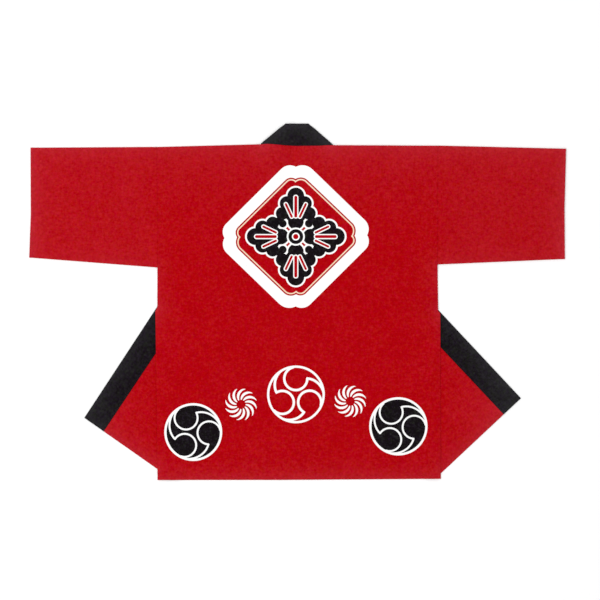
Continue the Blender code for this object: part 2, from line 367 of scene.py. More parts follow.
# Floor and light
FLOOR_SIZE = 30.0
FLOOR_BELOW = GAP / 3
FLOOR_COLOUR = (0.955, 0.955, 0.955)
FLOOR_GRAIN = 0.4
FLOOR_SHADE = 0.99
FLOOR_ROUGHNESS = 0.9
FLOOR_SPECULAR = 0.1
WORLD_LIGHT = 0.86
SOFTBOX_PLACE = (-1.6, 0.2, 3.4)
SOFTBOX_SIZE = 1.6
SOFTBOX_POWER = 45.0

SEED = 7


# Plane geometry on arrays of points

def on_plan(point):
    """A plan point from (across, down)."""
    return np.array((point[0], -point[1]))


def half_coat(name, column, sign):
    """One side of the coat, with each of its corners as a plan point."""
    corners = {corner: on_plan(places[column]) * (sign, 1) for corner, *places in CORNERS}
    return SimpleNamespace(name=name, sign=sign, middle=on_plan(FRONT_MIDDLE) * (sign, 1), **corners)


SIDES = (half_coat("left", 0, -1), half_coat("right", 1, 1))
LEFT, RIGHT = SIDES


def unit(vector):
    return vector / np.linalg.norm(vector)


def cross(a, b):
    return a[..., 0] * b[..., 1] - a[..., 1] * b[..., 0]


def reflect(points, line):
    """Where points lie once the cloth is folded, or unfolded, over a line."""
    start, end = line
    along = unit(end - start)
    offset = np.asarray(points) - start
    return start + 2 * (offset @ along)[..., None] * along - offset


def crossing(a, b, c, d):
    return a + (b - a) * cross(c - a, d - c) / cross(b - a, d - c)


def inward(point, amount):
    return np.array((point[0] - math.copysign(amount, point[0]), point[1]))


def segment_distance(points, a, b):
    ab = b - a
    share = np.clip(((points - a) @ ab) / (ab @ ab), 0.0, 1.0)
    return np.linalg.norm(points - a - share[:, None] * ab, axis=1)


def distance_to(points, line):
    """Distance to an open line."""
    return np.min([segment_distance(points, a, b) for a, b in zip(line, line[1:])], axis=0)


def is_inside(points, outline):
    inside = np.zeros(len(points), bool)
    x, y = points[:, 0], points[:, 1]
    for a, b in zip(outline, [*outline[1:], outline[0]]):
        if a[1] != b[1]:
            spans = (a[1] > y) != (b[1] > y)
            inside ^= spans & (x < a[0] + (y - a[1]) * (b[0] - a[0]) / (b[1] - a[1]))
    return inside


def smooth(share):
    share = np.clip(share, 0.0, 1.0)
    return share * share * (3 - 2 * share)


def eased(points, outline):
    """1 on the outline's area and just past its edge, falling smoothly to 0 over EASE."""
    far = distance_to(points, [*outline, outline[0]])
    far[is_inside(points, outline)] = 0.0
    return 1 - smooth((far - FOLD_REACH) / EASE)


def resample(line, spacing, closed=False):
    """The line with points added so that none of its steps is longer than spacing."""
    ends = [*line, line[0]] if closed else line
    points = []
    for a, b in zip(ends, ends[1:]):
        count = max(1, math.ceil(np.linalg.norm(b - a) / spacing - ON_LINE))
        points += [a + (b - a) * step / count for step in range(count)]
    return points if closed else points + [ends[-1]]


def beside(line, distance, towards):
    """The line moved sideways by a distance, to the side where a point lies."""
    steps = [b - a for a, b in zip(line, line[1:])]
    sign = 1 if cross(unit(steps[0]), towards - line[0]) > 0 else -1
    normals = [sign * np.array((-step[1], step[0])) / np.linalg.norm(step) for step in steps]
    moved = [line[0] + distance * normals[0]]
    for corner, before, after in zip(line[1:], normals, normals[1:]):
        moved.append(corner + distance * (before + after) / (1 + before @ after))
    return [*moved, line[-1] + distance * normals[-1]]


def rows_beside(line, distances, towards):
    return [beside(line, distance, towards) for distance in distances]


# The cut pieces in plan, as the frame has them

def front_outlines(side):
    """The front's panel and its band, each as what hangs and what is turned outward over the fold line."""
    fold_line = (side.fold_top, side.fold_hem)
    seam = [side.neck, side.seam_mid, side.seam_hem]
    band_seam = [inward(point, SEAM_GAP) for point in seam]
    edge = [side.collar_top, side.edge_mid, side.edge_hem]
    band_neck = crossing(edge[0], side.neck, side.neck + (0, SEAM_GAP), side.neck + (1, SEAM_GAP))
    panel_fold = crossing(*fold_line, seam[0], seam[1])
    band_fold = crossing(*fold_line, band_seam[0], band_seam[1])
    outer = [side.shoulder, side.armpit, side.waist_above, side.waist_below]
    hem_line = [side.hem + (0, FRONT_SHORTER), side.fold_hem]
    band = [edge[0], band_neck, band_fold, side.fold_top]
    if np.linalg.norm(side.fold_top - edge[0]) < ON_LINE:
        band.pop()
    turned_seam = list(reflect(seam, fold_line))
    turned_band_seam = list(reflect(band_seam, fold_line))
    turned_edge = list(reflect(edge, fold_line))
    return {
        "panel": [side.neck, *outer, *hem_line, panel_fold],
        "panel_turned": [panel_fold, *turned_seam[1:], side.fold_hem],
        "band": band,
        "band_turned": [side.fold_top, *turned_edge[1:], *turned_band_seam[:0:-1], band_fold],
        "panel_line": (panel_fold, side.fold_hem),
        "band_line": (side.fold_top, band_fold),
        "collar_line": (edge[0], band_neck),
        "hem": hem_line,
        "flap_hem": [turned_seam[2], side.fold_hem],
        "flap_seam": [panel_fold, *turned_seam[1:]],
        "flap_band_seam": [band_fold, *turned_band_seam[1:]],
        "flap_edge": [side.fold_top, *turned_edge[1:]],
    }


def neck_seam(raised):
    return [np.array((across, raised - down)) for across, down in NECK_SEAM]


def back_outline():
    names = ("neck", "shoulder", "armpit", "waist_above", "waist_below", "hem")
    halves = [[getattr(side, name) for name in names] for side in SIDES]
    return halves[0] + [on_plan(HEM_MIDDLE)] + halves[1][::-1] + neck_seam(0.0)[::-1]


def collar_outline(fronts):
    necks = [fronts[side.name]["collar_line"][1] for side in SIDES]
    return [LEFT.collar_top, necks[0], *neck_seam(SEAM_GAP), necks[1], RIGHT.collar_top]


def sleeve_outline(side):
    outward = (side.sign * SEAM_GAP, 0)
    return [side.sleeve_top + outward, side.cuff_top, side.cuff_mid, side.cuff_bottom, side.armpit + outward]


def silhouette(fronts):
    """The whole coat's outline as (start, end, how much painted flare lightens it)."""
    border = []
    for side in SIDES:
        front = fronts[side.name]
        tip = front["flap_edge"][-1]
        under_hem = crossing(tip, front["flap_hem"][1], side.waist_below, side.hem)
        corners = {**vars(side), "tip": tip, "under_hem": under_hem}
        points = [corners[name] for name, _ in BORDER] + [side.hem * (0, 1)]
        border += [(start, end, fade_and_flare_amount) for start, end, (_, fade_and_flare_amount) in zip(points, points[1:], BORDER)]
    border.append((LEFT.collar_top, RIGHT.collar_top, BORDER[0][1]))
    return border


# Heights

def lift(points):
    """How far the laid cloth stands off flat in its creases and swells. It is never below 0."""
    total = np.zeros(len(points))
    for start, end, half, rise in CREASES:
        far = segment_distance(points, on_plan(start), on_plan(end))
        total += rise * np.exp(-((far / half) ** 2))
    for across, up, phase, rise in SWELLS:
        total += rise * (1 + np.sin(math.tau * (points @ (across, up)) + phase))
    return total


class Heights:
    """Undersides of the stacked layers: the fronts on what is turned under, and the back on them."""

    def __init__(self, fronts):
        self.fronts = fronts.values()
        self.pressed_lines = []
        for side in SIDES:
            below_arm = side.armpit + PRESS_START * unit(side.waist_above - side.armpit)
            near_top = side.collar_top + PRESS_CORNER * unit(side.neck - side.collar_top)
            self.pressed_lines.append([below_arm, side.waist_above, side.waist_below, side.hem])
            self.pressed_lines.append([side.collar_top, near_top])

    def loose(self, points):
        """0 where the stack is pressed, rising smoothly to 1 over PRESS_REACH."""
        far = np.min([distance_to(points, line) for line in self.pressed_lines], axis=0)
        return smooth(far / PRESS_REACH)

    def cloth(self, points):
        """How thick the cloth is, which is less where it is pressed."""
        return WALL * (PRESSED_WALL + (1 - PRESSED_WALL) * self.loose(points))

    def band(self, points):
        return BAND_WALL / WALL * self.cloth(points)

    def stacked(self, points, panel, band):
        """The height that the fronts' panels and bands of one layer take up."""
        heights = [np.zeros(len(points))]
        for front in self.fronts:
            heights.append((FRAME_WALL + GAP) * eased(points, front[panel]))
            heights.append((FRAME_BAND_WALL + GAP) * eased(points, front[band]))
        share = PRESSED_SPACING + (1 - PRESSED_SPACING) * self.loose(points)
        return share * np.max(heights, axis=0)

    def front(self, points):
        return lift(points) + self.stacked(points, "panel_turned", "band_turned")

    def back(self, points):
        return self.front(points) + self.stacked(points, "panel", "band")

    def sleeve(self, points):
        return lift(points) + FRAME_WALL + GAP


def groove(far, middle):
    """A row of stitches that pulls the cloth down."""
    return -GROOVE * np.exp(-(((far - middle) / GROOVE_HALF) ** 2))


def hem_relief(far):
    """A turned hem: a little thicker up to its stitches."""
    return HEM_RISE * (1 - smooth((far - HEM_STEP_START) / HEM_STEP)) + groove(far, HEM)


def seam_relief(far):
    """A seam whose allowances are pressed to this side: a low step that falls into the seam."""
    step = 1 - smooth((far - SEAM_STEP_START) / SEAM_STEP)
    return SEAM_RISE * smooth(far / SEAM_FALL) * step


def band_relief(far):
    """The band beside its seam."""
    return groove(far, BAND_STITCH)


# Print

Shape = namedtuple("Shape", "colour outline")


def arc(centre, radius, start, sweep):
    """Points along an arc, both ends included, with angles in degrees."""
    count = max(LEAST_ARC, math.ceil(abs(math.radians(sweep)) * radius / ARC_STEP))
    angles = np.radians(start + sweep * np.arange(count + 1) / count)
    return [np.asarray(centre) + radius * np.array((math.cos(a), math.sin(a))) for a in angles]


def circle(centre, radius):
    return arc(centre, radius, 0.0, 360.0)[:-1]


def turned(points, angle, centre):
    """Points round the origin, turned by an angle in degrees and moved to a centre."""
    a = math.radians(angle)
    spin = np.array(((math.cos(a), math.sin(a)), (-math.sin(a), math.cos(a))))
    return list(np.asarray(points) @ spin + centre)


def ribbon(line, halves):
    """The outline of a line that has a half width at each of its points, with round ends."""
    line = np.asarray(line)
    along = np.gradient(line, axis=0)
    along /= np.linalg.norm(along, axis=1)[:, None]
    aside = np.stack((-along[:, 1], along[:, 0]), axis=1) * np.asarray(halves)[:, None]
    outline = list(line - aside)
    for end, way, half in ((-1, 1, halves[-1]), (0, -1, halves[0])):
        if half > ARC_STEP / 4:
            facing = math.degrees(math.atan2(*(way * along[end])[::-1]))
            outline += arc(line[end], half, facing - 90, 180)[1:-1]
        if end:
            outline += list((line + aside)[::-1])
    return outline


def stroke(line, width):
    return ribbon(line, [width / 2] * len(line))


def spiral(start, end, bend, angles):
    """A line from one distance to another round the origin, with a point at each angle in degrees."""
    share = np.linspace(0, 1, len(angles))
    reach = start + (end - start) * (1 - (1 - share) ** bend)
    turns = np.radians(angles)
    return np.stack((reach * np.cos(turns), reach * np.sin(turns)), axis=1)


def comma(roundel, head_angle):
    """The line round one comma: round its head, to a cusp, and out along its tail into the ring."""
    head_line = arc((HEAD_DISTANCE, 0.0), HEAD_RADIUS, HEAD_START, HEAD_SWEEP)
    cusp = head_line[-1]
    cusp_angle = math.degrees(math.atan2(cusp[1], cusp[0]))
    angles = cusp_angle - np.linspace(0, roundel.tail_sweep, TAIL_POINTS)
    tail = spiral(np.linalg.norm(cusp), roundel.radius - RING / 2, TAIL_BEND, angles)
    centre = on_plan(roundel.centre)
    return [
        Shape("white", turned(stroke(line, roundel.line), head_angle, centre))
        for line in (head_line, tail)
    ]


def roundel_shapes(roundel):
    """A ring round three commas that chase each other."""
    centre = on_plan(roundel.centre)
    shapes = [
        Shape("white", circle(centre, roundel.radius)),
        Shape(roundel.ground, circle(centre, roundel.radius - RING)),
    ]
    for number in range(3):
        shapes += comma(roundel, roundel.head_angle + 120 * number)
    return shapes


def blade_outline():
    """One curved blade of a pinwheel flower, whose tip is on the +X axis."""
    share = np.linspace(0, 1, BLADE_POINTS)
    line = spiral(FLOWER_HEART, FLOWER_RADIUS, BLADE_BEND, BLADE_LEAD * (1 - share**BLADE_SWERVE))
    return ribbon(line, BLADE_HALF * np.sin(math.pi * (BLADE_START + BLADE_SPAN * share)) ** BLADE_FULL)


def flower_shapes(centre, turn):
    blade = blade_outline()
    step = 360 / BLADES
    return [Shape("white", turned(blade, turn + step * i, on_plan(centre))) for i in range(BLADES)]


def side_angles(a, b):
    """The angles, on two lobes, of the points that the straight side past them touches."""
    way = b[:2] - a[:2]
    angle = math.atan2(way[1], way[0]) - math.acos((a[2] - b[2]) / np.linalg.norm(way))
    return angle, angle


def notch_angles(a, b):
    """The angles, on two lobes that overlap, of the outer point where they meet."""
    way = b[:2] - a[:2]
    apart = np.linalg.norm(way)
    along = (a[2] ** 2 - b[2] ** 2 + apart**2) / (2 * apart)
    aside = math.sqrt(a[2] ** 2 - along**2)
    notch = a[:2] + (along * way + aside * np.array((way[1], -way[0]))) / apart
    return [math.atan2(*(notch - lobe[:2])[::-1]) for lobe in (a, b)]


def notched_diamond(nest):
    """A diamond whose corners are two round lobes with a notch between them."""
    half = [np.array(lobe) - (0.0, 0.0, nest.inset) for lobe in nest.lobes]
    lobes = half + [lobe * (-1, -1, 1) for lobe in half]
    joins = [side_angles if number % 2 == 0 else notch_angles for number in range(len(lobes))]
    outline = []
    for number, lobe in enumerate(lobes):
        start = joins[number - 1](lobes[number - 1], lobe)[1]
        end = joins[number](lobe, lobes[(number + 1) % len(lobes)])[0]
        sweep = math.degrees((end - start) % math.tau)
        outline += arc(lobe[:2], lobe[2], math.degrees(start), sweep)[1 - number % 2:]
    return list(np.array(outline) + on_plan(DIAMOND_MIDDLE))


def frame_flower_shapes():
    """A four-petalled flower inside the diamond frame, black with a white outline and red slits."""
    centre = on_plan(DIAMOND_MIDDLE)
    lobes = []
    for quarter in range(4):
        lobes += [(90 * quarter, lobe) for lobe in PETAL_LOBES]
        lobes += [(90 * quarter + 45, lobe) for lobe in LEAF_LOBES]
    shapes = []
    for colour, more in (("white", OUTLINE), ("black", 0.0)):
        for angle, (across, outward, radius) in lobes:
            shapes.append(Shape(colour, turned(circle((across, outward), radius + more), angle, centre)))
    for colour, more in (("white", 2 * SLIT_OUTLINE), ("red", 0.0)):
        for quarter in range(4):
            for start, end, width in SLITS:
                line = [np.array(start), np.array(end)]
                shapes.append(Shape(colour, turned(stroke(line, width + more), 90 * quarter, centre)))
    shapes += [Shape(colour, circle(centre, radius)) for colour, radius in HEART_RINGS]
    return shapes


def print_shapes():
    """Everything printed on the back, in the order in which it is laid on."""
    shapes = [Shape(nest.colour, notched_diamond(nest)) for nest in DIAMOND]
    shapes += frame_flower_shapes()
    for roundel in ROUNDELS:
        shapes += roundel_shapes(roundel)
    for centre, turn in FLOWERS:
        shapes += flower_shapes(centre, turn)
    return shapes


# Cloth as meshes

def free_edges(faces):
    """Edges round the outside of some faces, with the faces on their left."""
    pairs = np.concatenate([faces[:, (0, 1)], faces[:, (1, 2)], faces[:, (2, 0)]])
    known = {tuple(pair) for pair in pairs.tolist()}
    return [(a, b) for a, b in pairs.tolist() if (b, a) not in known]


class Plan:
    """Triangles over a piece, fine enough for soft relief, that follow its outlines, rows and print."""

    def __init__(self, outlines, rows=(), shapes=()):
        points = []
        edges = []
        for line in (*outlines, *(shape.outline for shape in shapes)):
            first = len(points)
            points += resample(line, LINE_SPACING, closed=True)
            count = len(points) - first
            edges += [(first + i, first + (i + 1) % count) for i in range(count)]
        for row in rows:
            line = np.array(resample(row, LINE_SPACING))
            numbers = {}
            for i in np.flatnonzero(self.is_clear(line, outlines)):
                numbers[i] = len(points)
                points.append(line[i])
            edges += [(number, numbers[i + 1]) for i, number in numbers.items() if i + 1 in numbers]
        points += self.grid(outlines, points)
        made = delaunay_2d_cdt([Vector(point) for point in points], edges, [], 0, SAME_POINT)
        self.points = np.array([tuple(point) for point in made[0]])
        self.triangles = np.array(made[2])
        a, b, c = (self.points[self.triangles[:, i]] for i in range(3))
        clockwise = cross(b - a, c - a) < 0
        self.triangles[clockwise] = self.triangles[clockwise][:, ::-1]
        self.middles = (a + b + c) / 3

    def is_clear(self, points, outlines):
        """Which points lie inside the piece and off its outlines."""
        inside = np.any([is_inside(points, outline) for outline in outlines], axis=0)
        far = np.min([distance_to(points, [*outline, outline[0]]) for outline in outlines], axis=0)
        return inside & (far > LEAST_ROW_GAP)

    def grid(self, outlines, taken):
        """Loose points between the lines, in rows that are shaken a little."""
        random = np.random.RandomState(SEED)
        corners = np.concatenate(outlines)
        low, high = corners.min(axis=0), corners.max(axis=0)
        columns = np.arange(low[0], high[0], SPACING)
        rows = np.arange(low[1], high[1], ROW_SPACING)
        across, up = np.meshgrid(columns, rows)
        across[1::2] += SPACING / 2
        points = np.stack((across.ravel(), up.ravel()), axis=1)
        points += random.uniform(-JITTER, JITTER, points.shape) * SPACING
        points = points[np.any([is_inside(points, outline) for outline in outlines], axis=0)]
        tree = KDTree(len(taken))
        for index, point in enumerate(taken):
            tree.insert((*point, 0.0), index)
        tree.balance()
        return [point for point in points if tree.find((*point, 0.0))[2] > CLEARANCE * SPACING]

    def within(self, outline):
        """The triangles of one outline's area, without the slivers that rounding leaves along its edge."""
        faces = self.triangles[is_inside(self.middles, outline)]
        while True:
            ends = self.points[faces]
            sides = np.linalg.norm(ends - np.roll(ends, -1, axis=1), axis=2)
            area = cross(ends[:, 1] - ends[:, 0], ends[:, 2] - ends[:, 0])
            longest = sides.argmax(axis=1)
            free = set(free_edges(faces))
            slivers = []
            for number in np.flatnonzero(area < SLIVER * sides.max(axis=1)):
                start = longest[number]
                if (int(faces[number][start]), int(faces[number][(start + 1) % 3])) in free:
                    slivers.append(number)
            if not slivers:
                return faces
            faces = np.delete(faces, slivers, axis=0)


class Layer:
    """One laid stretch of a piece.

    relief lists its hems and seams as (relief, line), unfold the fold lines between it and the flat cut,
    and sewn the edges where another piece joins it.
    """

    def __init__(self, plan, outline, underside, wall, relief=(), unfold=(), shapes=(), sewn=()):
        self.plan = plan
        self.wall = wall
        self.underside = underside
        self.relief = relief
        self.unfold = unfold
        self.sewn = sewn
        self.faces = plan.within(outline)
        self.edges = free_edges(self.faces)
        self.used = np.unique(self.faces)
        self.colours = self.painted(shapes)

    def top(self, points):
        raised = sum(relief(distance_to(points, line)) for relief, line in self.relief)
        return self.underside(points) + self.wall(points) + raised

    def cut(self, points):
        for line in self.unfold:
            points = reflect(points, line)
        return points

    def painted(self, shapes):
        colours = ["plain"] * len(self.faces)
        middles = self.plan.points[self.faces].mean(axis=1)
        for shape in shapes:
            outline = np.array(shape.outline)
            low, high = outline.min(axis=0), outline.max(axis=0)
            near = np.flatnonzero(np.all((middles > low) & (middles < high), axis=1))
            for index in near[is_inside(middles[near], outline)]:
                colours[index] = shape.colour
        return colours


class Shell:
    """A piece of cloth as one closed mesh: layers with round edges, joined by round turns at the folds."""

    def __init__(self, layers, folds):
        """folds holds (upper layer's number, lower layer's number, line) for each turned edge."""
        self.layers = layers
        self.vertices = []
        self.cuts = []
        self.faces = []
        self.colours = []
        self.chains = {}
        self.corners = {}
        self.rims = [self.rim(layer, number, folds) for number, layer in enumerate(layers)]
        for number, layer in enumerate(layers):
            self.cover(number, layer)
        for upper, lower, line in folds:
            self.join(upper, lower, line)
        for number, (edges, _) in enumerate(self.rims):
            for i, j in edges:
                self.strip(self.chain(number, i), self.chain(number, j))

    def add(self, position, cut):
        self.vertices.append(position)
        self.cuts.append(cut)
        return len(self.vertices) - 1

    def face(self, corners, colour="plain"):
        self.faces.append(corners)
        self.colours.append(colour)

    def rim(self, layer, number, folds):
        """The layer's free edges, and for each of their points the way out."""
        points = layer.plan.points
        lines = [line for upper, lower, line in folds if number in (upper, lower)]
        free = []
        folded = set()
        for i, j in layer.edges:
            ends = points[[i, j]]
            if any(np.all(segment_distance(ends, *line) < ON_LINE) for line in lines):
                folded |= {i, j}
            else:
                free.append((i, j))
        normals = {}
        for i, j in free:
            along = unit(points[j] - points[i])
            for k in (i, j):
                normals.setdefault(k, []).append(np.array((along[1], -along[0])))
        outward = {}
        for k, found in normals.items():
            way = np.zeros(2)
            if k not in folded:
                way = sum(found) / (1 + found[0] @ found[-1] if len(found) > 1 else 1)
                length = np.linalg.norm(way)
                way *= min(1.0, MOST_MITER / length)
                if any(distance_to(points[[k]], line)[0] < ON_LINE for line in layer.sewn):
                    way *= SEWN_EDGE
            outward[k] = way
        return free, outward

    def cover(self, number, layer):
        used = layer.used
        points = layer.plan.points[used]
        bottom = layer.underside(points)
        top = layer.top(points)
        cuts = layer.cut(points)
        outward = self.rims[number][1]
        for k, point, low, high, cut in zip(used.tolist(), points, bottom, top, cuts):
            point = point - outward.get(k, 0.0) * (high - low) / 2
            self.corners[number, k, True] = self.add((*point, high), cut)
            self.corners[number, k, False] = self.add((*point, low), cut)
        for (a, b, c), colour in zip(layer.faces.tolist(), layer.colours):
            self.face([self.corners[number, k, True] for k in (a, b, c)], colour)
            self.face([self.corners[number, k, False] for k in (c, b, a)])

    def chain(self, number, k):
        """Vertices down the rounded free edge at one point, top and bottom included."""
        if (number, k) not in self.chains:
            way = self.rims[number][1].get(k, np.zeros(2))
            self.chains[number, k] = self.rounded(number, number, k, way, RIM_STEPS, 0.0)
        return self.chains[number, k]

    def rounded(self, upper, lower, k, way, steps, cut_share):
        """Half a circle from one layer's top to one layer's bottom, which takes a share more of the cut."""
        high = self.corners[upper, k, True]
        low = self.corners[lower, k, False]
        x, y, top = self.vertices[high]
        bottom = self.vertices[low][2]
        radius = (top - bottom) / 2
        found = [high]
        for step in range(1, steps):
            angle = math.pi * step / steps
            out = way * radius * math.sin(angle)
            where = (x + out[0], y + out[1], bottom + radius * (1 + math.cos(angle)))
            found.append(self.add(where, self.cuts[high] + cut_share * out))
        return found + [low]

    def strip(self, left, right):
        """Quads between two runs of vertices."""
        for step in range(len(left) - 1):
            self.face([left[step + 1], right[step + 1], right[step], left[step]])

    def join(self, upper, lower, line):
        """The rounded turn of the cloth along a fold line, from one layer to the layer under it."""
        points = self.layers[upper].plan.points
        edges = [
            (i, j) for i, j in self.layers[upper].edges
            if np.all(segment_distance(points[[i, j]], *line) < ON_LINE)
        ]
        starts = {i for i, _ in edges}
        ends = {j for _, j in edges}
        i, j = edges[0]
        along = unit(points[j] - points[i])
        outward = np.array((along[1], -along[0]))
        turns = {k: self.rounded(upper, lower, k, outward, TURN_STEPS, 1.0) for k in starts | ends}
        for i, j in edges:
            self.strip(turns[i], turns[j])
            inner = [(self.corners[upper, k, False], self.corners[lower, k, True]) for k in (i, j)]
            self.face([inner[0][0], inner[1][0], inner[1][1], inner[0][1]])
        for k, at_start in (((starts - ends).pop(), True), ((ends - starts).pop(), False)):
            loop = [*turns[k], *self.chain(lower, k)[-2::-1], *self.chain(upper, k)[:0:-1]]
            self.face(loop[::-1] if at_start else loop)


def shift_to_frame():
    """From the plan to the frame, whose lowest corner is the left cuff and the hem."""
    low = Vector(CAD_BOX[0])
    return np.array((low.x - LEFT.cuff_bottom[0], low.y + BACK_LENGTH))


def link(name, data):
    made = bpy.data.objects.new(name, data)
    bpy.context.scene.collection.objects.link(made)
    return made


def add_mesh(name, vertices, faces):
    mesh = bpy.data.meshes.new(name)
    placed = np.asarray(vertices, float)
    placed[:, :2] += SHIFT
    mesh.from_pydata(placed.tolist(), [], faces)
    mesh.polygons.foreach_set("use_smooth", [True] * len(mesh.polygons))
    return link(name, mesh)


def worn(points, border):
    """Painted flare over an even base: a painted veil of light that is near 0 in the middle of the coat,
    more on the sleeves and shoulders, and most along its edges.
    """
    edges = [fade_and_flare_amount * np.exp(-segment_distance(points, a, b) / FLARE_EDGE) for a, b, fade_and_flare_amount in border]
    out = (np.abs(points[:, 0]) - SLEEVES_START) / (SLEEVES_END - SLEEVES_START)
    below = (-points[:, 1] - SLEEVES_BELOW) / SLEEVES_FADE
    down = (-points[:, 1] - SHOULDERS_START) / (SHOULDERS_END - SHOULDERS_START)
    sleeves = FLARE_SLEEVES * smooth(out) * (1 - LESS_BELOW * smooth(below))
    broad = np.maximum(sleeves, FLARE_SHOULDERS * (1 - smooth(down)))
    for spot, reach, fade_and_flare_amount in LIGHTER_SPOTS:
        broad += fade_and_flare_amount * np.exp(-((np.linalg.norm(points - on_plan(spot), axis=1) / reach) ** 2))
    return np.clip(BASE_FADE + np.max(edges, axis=0) + broad, 0.0, 1.0)


def add_cloth(name, layers, folds, finishes, border):
    """finishes maps each colour of the layers' faces to a material."""
    shell = Shell(layers, folds)
    piece = add_mesh(name, shell.vertices, shell.faces)
    for finish in finishes.values():
        piece.data.materials.append(finish)
    numbers = {colour: number for number, colour in enumerate(finishes)}
    piece.data.polygons.foreach_set("material_index", [numbers[colour] for colour in shell.colours])
    cuts = np.zeros((len(shell.cuts), 3))
    cuts[:, :2] = shell.cuts
    attribute = piece.data.attributes.new("cut", "FLOAT_VECTOR", "POINT")
    attribute.data.foreach_set("vector", cuts.ravel())
    attribute = piece.data.attributes.new("worn", "FLOAT", "POINT")
    attribute.data.foreach_set("value", worn(np.asarray(shell.vertices)[:, :2], border))
    return piece


# Stitches

def stitches(line, top):
    """A row of stitches along a line on a surface, as (vertices, faces)."""
    line = np.asarray(resample(line, STITCH / 3))
    steps = np.linalg.norm(np.diff(line, axis=0), axis=1)
    run = np.concatenate(([0.0], np.cumsum(steps)))
    random = np.random.RandomState(SEED)
    starts = np.arange(STITCH_GAP, run[-1] - STITCH - STITCH_GAP, STITCH + STITCH_GAP)
    starts = starts + random.uniform(-STITCH_SHIFT, STITCH_SHIFT, len(starts)) * STITCH
    vertices = []
    faces = []
    shares = np.linspace(-1, 1, THREAD_STEPS + 1)
    for start in starts:
        along = start + (shares + 1) / 2 * STITCH
        points = np.stack([np.interp(along, run, line[:, axis]) for axis in (0, 1)], axis=1)
        way = unit(points[-1] - points[0])
        aside = np.array((-way[1], way[0]))
        heights = top(points) + THREAD * (THREAD_UP - THREAD_DOWN * shares**4)
        first = len(vertices)
        for point, height, share in zip(points, heights, shares):
            radius = THREAD * math.sqrt(THREAD_FULL - THREAD_TAPER * share**4)
            for side in range(THREAD_SIDES):
                angle = math.tau * side / THREAD_SIDES
                out = aside * radius * math.cos(angle)
                vertices.append((point[0] + out[0], point[1] + out[1], height + radius * math.sin(angle)))
        for ring in range(THREAD_STEPS):
            for side in range(THREAD_SIDES):
                a = first + ring * THREAD_SIDES + side
                b = first + ring * THREAD_SIDES + (side + 1) % THREAD_SIDES
                faces.append((a, b, b + THREAD_SIDES, a + THREAD_SIDES))
        last = first + THREAD_STEPS * THREAD_SIDES
        faces.append(tuple(range(first + THREAD_SIDES - 1, first - 1, -1)))
        faces.append(tuple(range(last, last + THREAD_SIDES)))
    return vertices, faces


def add_stitches(name, rows, finish):
    vertices = []
    faces = []
    for line, top in rows:
        more_vertices, more_faces = stitches(line, top)
        first = len(vertices)
        vertices += more_vertices
        faces += [tuple(first + k for k in face) for face in more_faces]
    piece = add_mesh(name, vertices, faces)
    piece.data.materials.append(finish)
    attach(piece, "root")


# Materials

class Nodes:
    """Short calls for building a material's nodes."""

    def __init__(self, name):
        self.material = bpy.data.materials.new(name)
        self.material.use_nodes = True
        self.tree = self.material.node_tree

    def feed(self, node, inputs):
        """Sets a node's inputs, each to a value or to another node's output."""
        for key, value in inputs.items():
            if isinstance(value, bpy.types.NodeSocket):
                self.tree.links.new(value, node.inputs[key])
            else:
                node.inputs[key].default_value = value

    def node(self, kind, inputs, **settings):
        made = self.tree.nodes.new(kind)
        for key, value in settings.items():
            setattr(made, key, value)
        self.feed(made, inputs)
        return made

    def finished(self, inputs):
        """The material, with its shader's inputs set."""
        self.feed(self.tree.nodes["Principled BSDF"], inputs)
        return self.material

    def math(self, operation, a, b=0.0):
        return self.node("ShaderNodeMath", {0: a, 1: b}, operation=operation).outputs[0]

    def spread(self, value, low, high, span=(0.0, 1.0)):
        """A value's span mapped to low and high, and held there beyond it."""
        inputs = {"Value": value, "To Min": low, "To Max": high, "From Min": span[0], "From Max": span[1]}
        return self.node("ShaderNodeMapRange", inputs).outputs[0]

    def vary(self, value, span, middle, amount):
        """A value's span mapped to an amount either way of a middle."""
        return self.spread(value, middle - amount, middle + amount, span)

    def noise(self, vector, size, stretch=(1.0, 1.0, 1.0), offset=0.0, detail=2.0):
        inputs = {0: vector, 1: stretch, 2: (offset, offset, offset)}
        scaled = self.node("ShaderNodeVectorMath", inputs, operation="MULTIPLY_ADD").outputs[0]
        inputs = {"Vector": scaled, "Scale": 1 / size, "Detail": detail, "Roughness": NOISE_ROUGHNESS}
        return self.node("ShaderNodeTexNoise", inputs).outputs[0]

    def scale(self, colour, share):
        return self.node("ShaderNodeVectorMath", {0: colour, 3: share}, operation="SCALE").outputs[0]

    def bump(self, height, strength, distance):
        inputs = {"Height": height, "Strength": strength, "Distance": distance}
        return self.node("ShaderNodeBump", inputs).outputs[0]


def weave_height(nodes, x, y):
    """A plain weave: round threads that pass over and under each other."""
    across, up = (nodes.math("SINE", nodes.math("MULTIPLY", axis, math.pi / PITCH)) for axis in (x, y))
    warp = nodes.math("ABSOLUTE", across)
    weft = nodes.math("ABSOLUTE", up)
    warp_over = nodes.math("GREATER_THAN", nodes.math("MULTIPLY", across, up), 0.0)
    weft_over = nodes.math("SUBTRACT", 1.0, warp_over)
    heights = []
    for over, thread, crossed in ((warp_over, warp, weft), (weft_over, weft, warp)):
        bend = nodes.math("ADD", nodes.math("MULTIPLY", crossed, THREAD_BEND), 1 - THREAD_BEND)
        heights.append(nodes.math("MULTIPLY", over, nodes.math("MULTIPLY", thread, bend)))
    return nodes.math("ADD", *heights)


def rgba(colour):
    return (*colour, 1.0)


